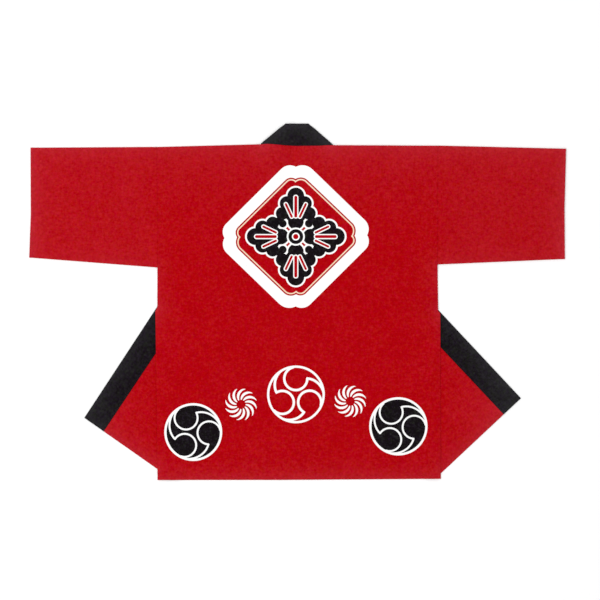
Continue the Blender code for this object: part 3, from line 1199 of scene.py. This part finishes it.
def cotton(name, colour, faded_and_flared_colour, uneven=1.0, gap_shade=GAP_SHADE, roughness=ROUGHNESS, sheen=SHEEN):
    """Woven cotton: threads with painted shade in their gaps, slubs, mottled shade and dye, broad clouds,
    and painted flare towards the border.
    """
    nodes = Nodes(name)
    cut = nodes.node("ShaderNodeAttribute", {}, attribute_name="cut").outputs["Vector"]
    # The painted flare, a painted veil of light over an even base: lighter towards the border, on the
    # sleeves and on the shoulders
    fade_and_flare_amount = nodes.node("ShaderNodeAttribute", {}, attribute_name="worn").outputs["Fac"]
    axes = nodes.node("ShaderNodeSeparateXYZ", {0: cut}).outputs
    weave = weave_height(nodes, axes[0], axes[1])

    def along_threads(width, length, offset=0.0):
        up = nodes.noise(cut, width, (1.0, width / length, 1.0), offset)
        return nodes.math("ADD", up, nodes.noise(cut, width, (width / length, 1.0, 1.0), offset))

    noises = {
        "streaks": along_threads(STREAK_WIDTH, STREAK_LENGTH, STREAK_OFFSET),
        "mottle": nodes.noise(cut, MOTTLE),
        "blotch": nodes.noise(cut, BLOTCH, detail=1.0),
        "slubs": along_threads(SLUB_WIDTH, SLUB_LENGTH),
    }
    cloud = nodes.noise(cut, CLOUD)
    hue = nodes.noise(cut, HUE, offset=HUE_OFFSET)

    fade_and_flare = fade_and_flare_amount
    for kind, span, amount in FADES:
        fade_and_flare = nodes.math("ADD", fade_and_flare, nodes.vary(noises[kind], span, 0.0, amount * uneven))
    fade_and_flare = nodes.math("ADD", fade_and_flare, nodes.vary(cloud, BROAD_SPAN, 0.0, CLOUD_FADE))
    warm = nodes.vary(hue, HUE_SPAN, 0.0, HUE_FADE * min(uneven, 1.0))
    shares = (fade_and_flare, nodes.math("ADD", fade_and_flare, warm), nodes.math("SUBTRACT", fade_and_flare, warm))
    channels = [nodes.spread(*ends) for ends in zip(shares, colour, faded_and_flared_colour)]
    dyed = nodes.node("ShaderNodeCombineXYZ", dict(enumerate(channels))).outputs[0]

    shade = nodes.vary(noises["streaks"], STREAK_SPAN, 1.0, STREAK_SHADE * uneven)
    # Painted shade: the colour is darker in the gaps between the threads and lighter on their crowns, and
    # the streaks and clouds vary it at random
    painted_shade_and_mottle = nodes.math("MULTIPLY", nodes.spread(weave, gap_shade, THREAD_SHADE), shade)
    painted_shade_and_mottle = nodes.math("MULTIPLY", painted_shade_and_mottle, nodes.vary(cloud, BROAD_SPAN, 1.0, CLOUD_SHADE))
    relief = nodes.math("ADD", weave, nodes.math("MULTIPLY", noises["slubs"], SLUB_RELIEF))
    brightest = max(faded_and_flared_colour)
    tint = [channel / brightest for channel in faded_and_flared_colour]
    return nodes.finished({
        "Base Color": nodes.scale(dyed, painted_shade_and_mottle),
        "Normal": nodes.bump(relief, WEAVE_BUMP, WEAVE_DEPTH),
        "Roughness": nodes.spread(weave, min(roughness + GAP_ROUGHER, 1.0), roughness - THREAD_SMOOTHER),
        "Specular IOR Level": SPECULAR,
        "Specular Tint": rgba(tint),
        "Sheen Weight": sheen,
        "Sheen Roughness": SHEEN_ROUGHNESS,
        "Sheen Tint": rgba([1 - SHEEN_TINT + SHEEN_TINT * channel for channel in tint]),
    })


def thread_finish(name, colour):
    """Twisted sewing thread, with painted shade in the grooves of its twist."""
    nodes = Nodes(name)
    inputs = {
        "Vector": nodes.node("ShaderNodeTexCoord", {}).outputs["Object"],
        "Scale": WAVE_LENGTH / TWIST_LENGTH,
        "Distortion": TWIST_DISTORTION,
    }
    twist = nodes.node("ShaderNodeTexWave", inputs, bands_direction="DIAGONAL").outputs[0]
    return nodes.finished({
        # Painted shade: darker in the twist's grooves and lighter on its ridges
        "Base Color": nodes.scale(colour, nodes.spread(twist, *TWIST_SHADE)),
        "Normal": nodes.bump(twist, TWIST_BUMP, TWIST_DEPTH),
        "Roughness": THREAD_ROUGHNESS,
        "Specular IOR Level": THREAD_SPECULAR,
    })


# The coat

class Coat:
    """The pieces of cloth by the node that each stands for, and the rows to be stitched."""

    def __init__(self):
        self.fronts = {side.name: front_outlines(side) for side in SIDES}
        self.heights = Heights(self.fronts)
        self.border = silhouette(self.fronts)
        self.red = cotton("red_cotton", RED, RED_FADED_AND_FLARED)
        self.black = cotton("black_cotton", BLACK, BLACK_FADED_AND_FLARED, BLACK_UNEVEN)
        self.pieces = {}
        self.red_rows = []
        self.black_rows = []

    def add(self, node, name, layers, folds, finishes):
        self.pieces[node] = add_cloth(name, layers, folds, finishes, self.border)

    def add_back(self):
        """The one panel that lies on top, printed."""
        heights = self.heights
        finishes = {"plain": self.red, "red": self.red}
        for paint, colour, faded_and_flared_colour, uneven, gap_shade in PRINTS:
            looks = (uneven, gap_shade, PRINT_ROUGHNESS, PRINT_SHEEN)
            finishes[paint] = cotton(f"{paint}_print", colour, faded_and_flared_colour, *looks)
        outline = back_outline()
        middle = on_plan(BACK_MIDDLE)
        hem = [LEFT.hem, on_plan(HEM_MIDDLE), RIGHT.hem]
        seams = [[side.shoulder, side.armpit] for side in SIDES]
        seams.append([LEFT.neck, *neck_seam(0.0), RIGHT.neck])
        rows = rows_beside(hem, HEM_ROWS, middle)
        for seam in seams:
            rows += rows_beside(seam, SEAM_ROWS, middle)
        shapes = print_shapes()
        relief = [(hem_relief, hem), *((seam_relief, seam) for seam in seams)]
        plan = Plan([outline], rows, shapes)
        layer = Layer(plan, outline, heights.back, heights.cloth, relief, shapes=shapes, sewn=seams)
        self.add("back_panel", "back_cloth", [layer], [], finishes)
        self.red_rows.append((beside(hem, HEM, middle), layer.top))

    def add_front(self, side):
        """A front's panel, and the flap that is turned outward under it."""
        heights = self.heights
        front = self.fronts[side.name]
        line = front["panel_line"]
        seam = front["flap_seam"]
        rows = rows_beside(front["flap_hem"], HEM_ROWS, side.middle)
        rows += rows_beside(seam, SEAM_ROWS, side.fold_hem)
        rows += rows_beside(front["hem"], HEM_ROWS, side.middle)
        plan = Plan([front["panel"], front["panel_turned"]], rows)
        panel = Layer(plan, front["panel"], heights.front, heights.cloth, [(hem_relief, front["hem"])])
        relief = [(hem_relief, front["flap_hem"]), (seam_relief, seam)]
        turned_under = front["panel_turned"]
        flap = Layer(plan, turned_under, lift, heights.cloth, relief, [line], sewn=[seam])
        name = f"front_{side.name}"
        self.add(name, f"{name}_cloth", [panel, flap], [(0, 1, line)], {"plain": self.red})
        self.red_rows.append((beside(front["flap_hem"], HEM, side.middle), flap.top))

    def add_sleeve(self, side):
        """A tube that is folded at its top and bottom edges."""
        heights = self.heights
        outline = sleeve_outline(side)
        cuff = outline[1:4]
        armhole = [outline[0], outline[4]]
        middle = sum(outline) / len(outline)
        rows = rows_beside(cuff, HEM_ROWS, middle) + rows_beside(armhole, SEAM_ROWS, middle)
        plan = Plan([outline], rows)
        over_line = (outline[0], outline[1])
        under_line = (outline[3], outline[4])
        relief = [(hem_relief, cuff)]
        upper = Layer(plan, outline, heights.sleeve, heights.cloth, relief, sewn=[armhole])
        lower = Layer(plan, outline, lift, heights.cloth, unfold=[over_line], sewn=[armhole])
        folds = [(0, 1, over_line), (0, 1, under_line)]
        name = f"sleeve_{side.name}"
        self.add(name, f"{name}_cloth", [upper, lower], folds, {"plain": self.red})
        self.red_rows.append((beside(cuff, HEM, middle), upper.top))

    def add_collar(self):
        """The band behind the neck, and at each side what hangs from it and what is turned outward."""
        heights = self.heights
        collar = collar_outline(self.fronts)
        neck = collar[1:-1]
        middle = on_plan((0.0, COLLAR_TOP / 2))
        outlines = [collar]
        rows = rows_beside(neck, BAND_ROWS, middle)
        for front in self.fronts.values():
            outlines += [front["band"], front["band_turned"]]
            rows += rows_beside(front["flap_band_seam"], BAND_ROWS, front["flap_edge"][-1])
        plan = Plan(outlines, rows)
        layers = [Layer(plan, collar, heights.back, heights.band, [(band_relief, neck)], sewn=[neck])]
        folds = []
        self.black_rows.append((beside(neck, BAND_STITCH, middle), layers[0].top))
        for front in self.fronts.values():
            hanging = len(layers)
            seam = front["flap_band_seam"]
            over, under = front["collar_line"], front["band_line"]
            relief = [(band_relief, seam)]
            turned_under = front["band_turned"]
            layers += [
                Layer(plan, front["band"], heights.front, heights.band, unfold=[over]),
                Layer(plan, turned_under, lift, heights.band, relief, [under, over], sewn=[seam]),
            ]
            folds += [(0, hanging, over), (hanging, hanging + 1, under)]
            self.black_rows.append((beside(seam, BAND_STITCH, front["flap_edge"][-1]), layers[-1].top))
        self.add("collar", "collar_band", layers, folds, {"plain": self.black})


def build_coat():
    """All the cloth and stitches. Returns each piece of cloth by its node."""
    coat = Coat()
    coat.add_back()
    for side in SIDES:
        coat.add_front(side)
        coat.add_sleeve(side)
    coat.add_collar()
    add_stitches("red_stitches", coat.red_rows, thread_finish("red_thread", RED_FADED_AND_FLARED))
    black_thread = thread_finish("black_thread", BLACK_FADED_AND_FLARED)
    add_stitches("black_stitches", coat.black_rows, black_thread)
    return coat.pieces


def declare(pieces):
    """Attaches each piece of cloth to the root body, and hides the frame's part that it stands for."""
    for node, piece in pieces.items():
        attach(piece, "root")
        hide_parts(node)


# Floor, light and camera

def add_floor():
    half = FLOOR_SIZE / 2
    corners = [(-half, -half), (half, -half), (half, half), (-half, half)]
    mesh = bpy.data.meshes.new("floor")
    mesh.from_pydata([(x, y, -FLOOR_BELOW) for x, y in corners], [], [(0, 1, 2, 3)])
    floor = link("floor", mesh)
    nodes = Nodes("floor_paper")
    where = nodes.node("ShaderNodeTexCoord", {}).outputs["Object"]
    shade = nodes.spread(nodes.noise(where, FLOOR_GRAIN), FLOOR_SHADE, 1.0, BROAD_SPAN)
    mesh.materials.append(nodes.finished({
        "Base Color": nodes.scale(FLOOR_COLOUR, shade),
        "Roughness": FLOOR_ROUGHNESS,
        "Specular IOR Level": FLOOR_SPECULAR,
    }))
    return floor


def add_light():
    world = bpy.data.worlds.new("studio")
    world.use_nodes = True
    background = world.node_tree.nodes["Background"]
    background.inputs["Color"].default_value = (1.0, 1.0, 1.0, 1.0)
    background.inputs["Strength"].default_value = WORLD_LIGHT
    bpy.context.scene.world = world
    light = bpy.data.lights.new("softbox", "AREA")
    light.size = SOFTBOX_SIZE
    light.energy = SOFTBOX_POWER
    softbox = link("softbox", light)
    softbox.location = SOFTBOX_PLACE
    softbox.rotation_euler = Vector(SOFTBOX_PLACE).to_track_quat("Z", "Y").to_euler()


def add_camera():
    data = bpy.data.cameras.new("camera")
    data.lens = LENS
    data.sensor_width = SENSOR
    data.clip_end = VIEW_DEPTH
    camera = link("camera", data)
    across, up = on_plan(VIEW_MIDDLE) + SHIFT
    camera.location = (across, up, VIEW_WIDTH * LENS / SENSOR)
    bpy.context.scene.camera = camera


SHIFT = shift_to_frame()
bpy.context.scene.view_settings.view_transform = "Standard"
add_camera()
floor_piece = add_floor()
add_light()
declare(build_coat())
